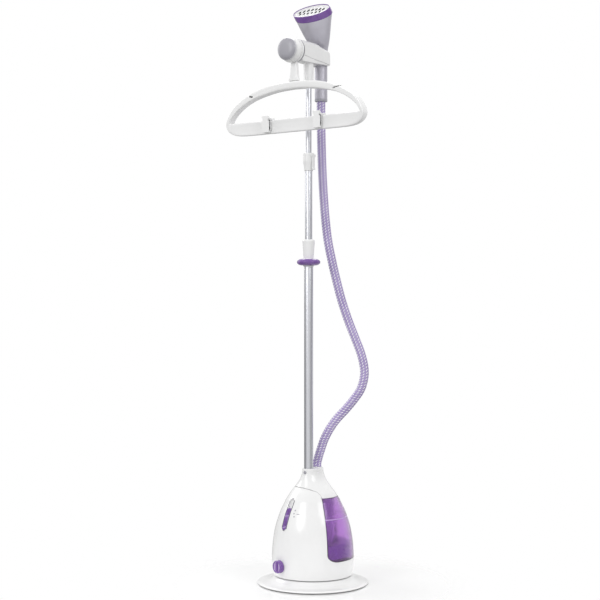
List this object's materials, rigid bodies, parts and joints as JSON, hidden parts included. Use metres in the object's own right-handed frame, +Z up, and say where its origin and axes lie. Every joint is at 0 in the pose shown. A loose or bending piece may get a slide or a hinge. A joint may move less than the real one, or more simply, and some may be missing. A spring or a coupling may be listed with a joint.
{
  "type": "garment steamer",
  "caption": "Upright garment steamer: round base with side water tank, telescopic mast, hanger on a swivel hub with sliding clips, and a steam head on a braided hose.",
  "frame": {"origin": "on the floor under the middle of the round base", "axes": "+Z up along the mast, the control side and the hanger face -Y, the water tank is towards +X"},
  "size_m": [0.4692, 0.306, 1.6101],
  "materials": {
    "gloss_white": "smooth moulded, high gloss",
    "gloss_purple": "smooth moulded, high gloss",
    "tank_purple": "clear tinted moulding, polished",
    "trim_grey": "satin moulded",
    "head_silver": "satin, slightly metallic",
    "chassis_grey": "moulded, plain",
    "bush_plastic": "moulded, plain",
    "board_green": "lacquered board",
    "ceramic_white": "unglazed",
    "silicone_pipe": "soft, milky",
    "seal_rubber": "smooth",
    "rubber_black": "smooth",
    "gasket_red": "smooth",
    "ballast_iron": "as cast",
    "boiler_alloy": "as cast",
    "tube_alloy": "satin anodised",
    "plain_steel": "bright",
    "hose_braid": "fine braid with light stitch rows"
  },
  "bodies": {
    "base": {"base_plate": "gloss_white", "rubber_feet": "rubber_black", "ballast_ring": "ballast_iron", "chassis": "chassis_grey", "front_housing": "gloss_white", "neck_cover": "gloss_white", "tank_bay": "gloss_white", "valve_seat": "seal_rubber", "pump": "chassis_grey", "inlet_pipe": "silicone_pipe", "feed_pipe": "silicone_pipe", "boiler_base": "boiler_alloy", "boiler_gasket": "gasket_red", "boiler_lid": "boiler_alloy", "heating_element": "plain_steel", "thermostat": "ceramic_white", "steam_pipe": "silicone_pipe", "drain_valve": "gloss_white", "drain_pipe": "silicone_pipe", "slider_tray": "trim_grey", "slide_switch": "chassis_grey", "control_board": "board_green", "board_bracket": "gloss_white", "cord_gland": "rubber_black", "mast_socket": "gloss_white", "hose_socket": "gloss_white", "hose": "hose_braid", "lower_tube": "tube_alloy", "twist_collar": "gloss_white"},
    "lock_ring": {"lock_ring": "gloss_purple"},
    "mast_mid": {"middle_tube": "tube_alloy", "middle_bush": "bush_plastic", "clamp_collar": "gloss_white", "lever_pin": "plain_steel"},
    "clamp_lever": {"clamp_lever": "gloss_white"},
    "mast_top": {"upper_tube": "tube_alloy", "upper_bush": "bush_plastic", "bracket_lower": "gloss_white", "bracket_upper": "gloss_white", "bracket_screws": "plain_steel", "pivot_bolt": "plain_steel", "hub_washer": "seal_rubber"},
    "hanger": {"hanger_hub": "gloss_white", "hanger_frame": "gloss_white"},
    "lock_knob": {"lock_knob": "trim_grey"},
    "clip_left": {"clip_left": "gloss_white"},
    "clip_right": {"clip_right": "gloss_white"},
    "jaw_left": {"jaw_left": "gloss_white"},
    "jaw_right": {"jaw_right": "gloss_white"},
    "steam_head": {"head_shell": "head_silver", "head_rim": "gloss_purple", "steam_plate": "gloss_white", "steam_duct": "bush_plastic", "hose_cuff": "head_silver"},
    "tank": {"tank_body": "tank_purple", "tank_lid": "tank_purple", "tank_valve": "gloss_purple"},
    "steam_slider": {"steam_slider": "gloss_purple"},
    "drain_knob": {"drain_knob": "gloss_purple"},
    "release_button": {"release_button": "trim_grey"}
  },
  "joints": [
    {"name": "lock_ring_turn", "type": "hinge", "parent": "base", "child": "lock_ring", "pos_m": [0, -0.0195, 0.8906], "axis": [0, 0, 1], "range_deg": [0, 60]},
    {"name": "mast_lower_slide", "type": "slide", "parent": "base", "child": "mast_mid", "axis": [0, 0, 1], "range_m": [-0.188, 0], "deforming": ["hose"]},
    {"name": "clamp_lever_flip", "type": "hinge", "parent": "mast_mid", "child": "clamp_lever", "pos_m": [0.015, -0.0195, 1.1845], "axis": [0, -1, 0], "range_deg": [0, 100]},
    {"name": "mast_upper_slide", "type": "slide", "parent": "mast_mid", "child": "mast_top", "axis": [0, 0, 1], "range_m": [-0.178, 0], "deforming": ["hose"]},
    {"name": "hanger_swing", "type": "hinge", "parent": "mast_top", "child": "hanger", "pos_m": [0, -0.085, 1.466], "axis": [0, 1, 0], "range_deg": [-90, 90]},
    {"name": "lock_knob_turn", "type": "hinge", "parent": "mast_top", "child": "lock_knob", "pos_m": [0, -0.1, 1.466], "axis": [0, 1, 0], "range_deg": [0, 180]},
    {"name": "clip_left_slide", "type": "slide", "parent": "hanger", "child": "clip_left", "axis": [1, 0, 0], "range_m": [-0.07, 0.07]},
    {"name": "clip_right_slide", "type": "slide", "parent": "hanger", "child": "clip_right", "axis": [1, 0, 0], "range_m": [-0.07, 0.07]},
    {"name": "jaw_left_open", "type": "hinge", "parent": "clip_left", "child": "jaw_left", "pos_m": [-0.087, -0.0976, 1.286], "axis": [-1, 0, 0], "range_deg": [0, 18], "stiffness_Nm_per_rad": 0.4, "springref_deg": -14.32},
    {"name": "jaw_right_open", "type": "hinge", "parent": "clip_right", "child": "jaw_right", "pos_m": [0.087, -0.0976, 1.286], "axis": [-1, 0, 0], "range_deg": [0, 18], "stiffness_Nm_per_rad": 0.4, "springref_deg": -14.32},
    {"name": "steam_head_lift", "type": "slide", "parent": "mast_top", "child": "steam_head", "axis": [0, 0, 1], "range_m": [0, 0.045], "deforming": ["hose"]},
    {"name": "tank_pull", "type": "slide", "parent": "base", "child": "tank", "axis": [0.891, 0.454, 0], "range_m": [0, 0.13]},
    {"name": "steam_slider_slide", "type": "slide", "parent": "base", "child": "steam_slider", "axis": [0.0873, 0.3695, 0.9251], "range_m": [0, 0.026]},
    {"name": "drain_knob_turn", "type": "hinge", "parent": "base", "child": "drain_knob", "pos_m": [-0.02847, -0.10625, 0.0595], "axis": [-0.2588, -0.9659, 0], "range_deg": [0, 90]},
    {"name": "release_button_press", "type": "slide", "parent": "base", "child": "release_button", "axis": [0, 1, 0], "range_m": [0, 0.0015], "stiffness_N_per_m": 600, "springref_m": -0.001}
  ]
}
